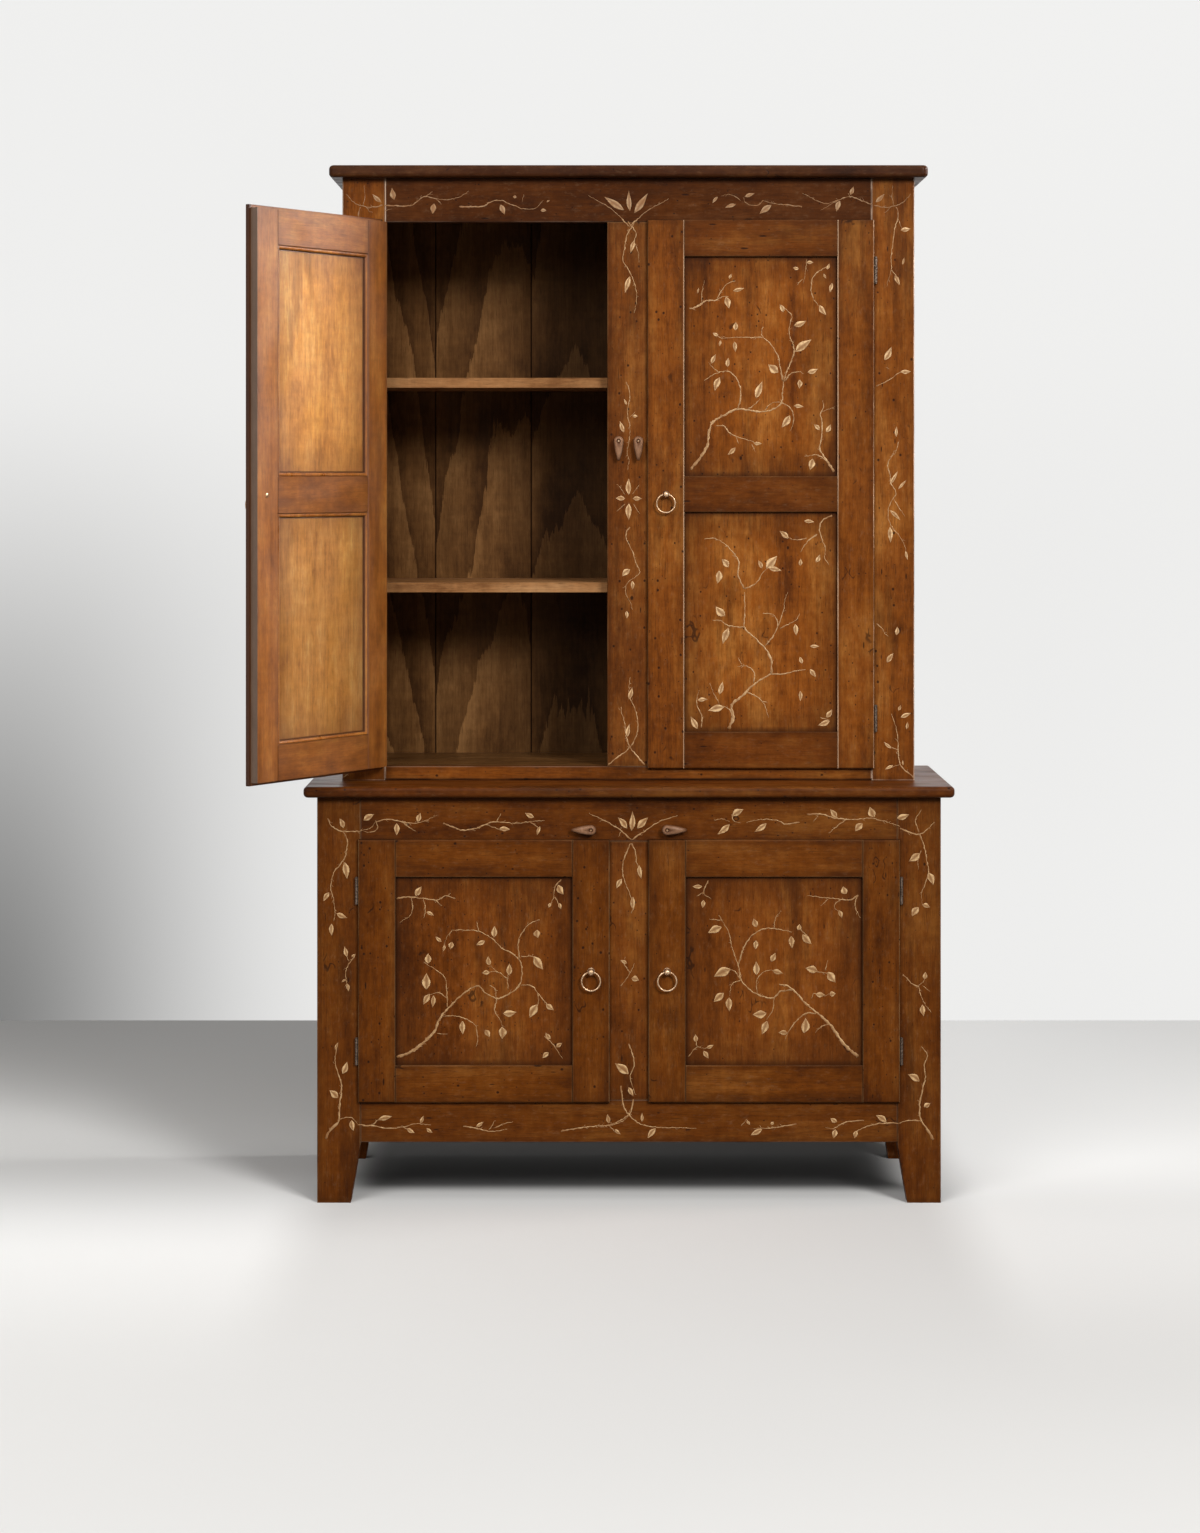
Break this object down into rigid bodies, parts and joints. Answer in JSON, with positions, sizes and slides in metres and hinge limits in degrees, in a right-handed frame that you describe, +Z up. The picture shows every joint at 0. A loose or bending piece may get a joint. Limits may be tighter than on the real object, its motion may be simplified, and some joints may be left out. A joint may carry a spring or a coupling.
{
  "type": "two-part painted cupboard",
  "caption": "Step-back wooden cupboard: a deep legged base with panelled doors under a shallower shelved case with tall panelled doors, ring pulls and turn buttons.",
  "frame": {"origin": "on the floor, in the middle of the four feet", "axes": "+X to the right of someone facing the doors, +Y towards the back, +Z up"},
  "size_m": [1.3923, 0.774, 2.086],
  "materials": {
    "glazed_wood": "brown stain and dark glaze under satin varnish, worn at the edges, with painted vines",
    "inside_wood": "dark stain, matt",
    "dark_wood": "dark polished",
    "aged_brass": "aged, dull",
    "dark_iron": "browned"
  },
  "bodies": {
    "carcass": {"base_front_right_leg": "glazed_wood", "base_front_left_leg": "glazed_wood", "base_rear_legs": "glazed_wood", "base_bottom_rail": "glazed_wood", "base_top_rail": "glazed_wood", "base_centre_stile": "glazed_wood", "base_right_side": "glazed_wood", "base_left_side": "glazed_wood", "base_floor": "inside_wood", "base_shelf": "inside_wood", "base_back_boards": "glazed_wood", "worktop": "glazed_wood", "upper_right_stile": "glazed_wood", "upper_left_stile": "glazed_wood", "upper_bottom_rail": "glazed_wood", "upper_top_rail": "glazed_wood", "upper_centre_stile": "glazed_wood", "upper_right_side": "glazed_wood", "upper_left_side": "glazed_wood", "upper_floor": "inside_wood", "upper_shelves": "inside_wood", "upper_back_boards": "inside_wood", "crown_board": "glazed_wood", "shelf_cleats": "inside_wood", "hinge_frame_leaves": "dark_iron", "hinge_pins": "dark_iron", "turn_button_screws": "aged_brass", "turn_button_spacers": "dark_wood"},
    "upper_right_door": {"upper_right_door_lock_stile": "glazed_wood", "upper_right_door_hinge_stile": "glazed_wood", "upper_right_door_rails": "glazed_wood", "upper_right_door_panels": "glazed_wood", "upper_right_door_hinge_leaves": "dark_iron", "upper_right_door_pull_post": "aged_brass"},
    "upper_right_ring": {"upper_right_door_pull_ring": "aged_brass"},
    "upper_left_door": {"upper_left_door_lock_stile": "glazed_wood", "upper_left_door_hinge_stile": "glazed_wood", "upper_left_door_rails": "glazed_wood", "upper_left_door_panels": "glazed_wood", "upper_left_door_hinge_leaves": "dark_iron", "upper_left_door_pull_post": "aged_brass"},
    "upper_left_ring": {"upper_left_door_pull_ring": "aged_brass"},
    "lower_right_door": {"lower_right_door_lock_stile": "glazed_wood", "lower_right_door_hinge_stile": "glazed_wood", "lower_right_door_rails": "glazed_wood", "lower_right_door_panels": "glazed_wood", "lower_right_door_hinge_leaves": "dark_iron", "lower_right_door_pull_post": "aged_brass"},
    "lower_right_ring": {"lower_right_door_pull_ring": "aged_brass"},
    "lower_left_door": {"lower_left_door_lock_stile": "glazed_wood", "lower_left_door_hinge_stile": "glazed_wood", "lower_left_door_rails": "glazed_wood", "lower_left_door_panels": "glazed_wood", "lower_left_door_hinge_leaves": "dark_iron", "lower_left_door_pull_post": "aged_brass"},
    "lower_left_ring": {"lower_left_door_pull_ring": "aged_brass"},
    "upper_right_turn_button": {"upper_right_turn_button": "dark_wood"},
    "upper_left_turn_button": {"upper_left_turn_button": "dark_wood"},
    "lower_right_turn_button": {"lower_right_turn_button": "dark_wood"},
    "lower_left_turn_button": {"lower_left_turn_button": "dark_wood"}
  },
  "joints": [
    {"name": "upper_right_door_hinge", "type": "hinge", "parent": "carcass", "child": "upper_right_door", "pos_m": [0.50375, -0.121, 1.417], "axis": [0, 0, 1], "range_deg": [0, 170]},
    {"name": "upper_right_ring_swing", "type": "hinge", "parent": "upper_right_door", "child": "upper_right_ring", "pos_m": [0.076, -0.1364, 1.417], "axis": [-1, 0, 0], "range_deg": [-10, 170]},
    {"name": "upper_left_door_hinge", "type": "hinge", "parent": "carcass", "child": "upper_left_door", "pos_m": [-0.50375, -0.121, 1.417], "axis": [0, 0, -1], "range_deg": [-120, 50]},
    {"name": "upper_left_ring_swing", "type": "hinge", "parent": "upper_left_door", "child": "upper_left_ring", "pos_m": [-0.73096, -0.48374, 1.417], "axis": [0.5, 0.866, 0], "range_deg": [-10, 170]},
    {"name": "lower_right_door_hinge", "type": "hinge", "parent": "carcass", "child": "lower_right_door", "pos_m": [0.54475, -0.251, 0.4645], "axis": [0, 0, 1], "range_deg": [0, 170]},
    {"name": "lower_right_ring_swing", "type": "hinge", "parent": "lower_right_door", "child": "lower_right_ring", "pos_m": [0.076, -0.2664, 0.4645], "axis": [-1, 0, 0], "range_deg": [-10, 170]},
    {"name": "lower_left_door_hinge", "type": "hinge", "parent": "carcass", "child": "lower_left_door", "pos_m": [-0.54475, -0.251, 0.4645], "axis": [0, 0, -1], "range_deg": [0, 170]},
    {"name": "lower_left_ring_swing", "type": "hinge", "parent": "lower_left_door", "child": "lower_left_ring", "pos_m": [-0.076, -0.2664, 0.4645], "axis": [-1, 0, 0], "range_deg": [-10, 170]},
    {"name": "upper_right_turn_button_turn", "type": "hinge", "parent": "carcass", "child": "upper_right_turn_button", "pos_m": [0.02, -0.126, 1.525], "axis": [0, -1, 0], "range_deg": [0, 90]},
    {"name": "upper_left_turn_button_turn", "type": "hinge", "parent": "carcass", "child": "upper_left_turn_button", "pos_m": [-0.02, -0.126, 1.525], "axis": [0, 1, 0], "range_deg": [0, 90]},
    {"name": "lower_right_turn_button_turn", "type": "hinge", "parent": "carcass", "child": "lower_right_turn_button", "pos_m": [0.076, -0.256, 0.747], "axis": [0, 1, 0], "range_deg": [0, 90]},
    {"name": "lower_left_turn_button_turn", "type": "hinge", "parent": "carcass", "child": "lower_left_turn_button", "pos_m": [-0.076, -0.256, 0.747], "axis": [0, -1, 0], "range_deg": [0, 90]}
  ]
}
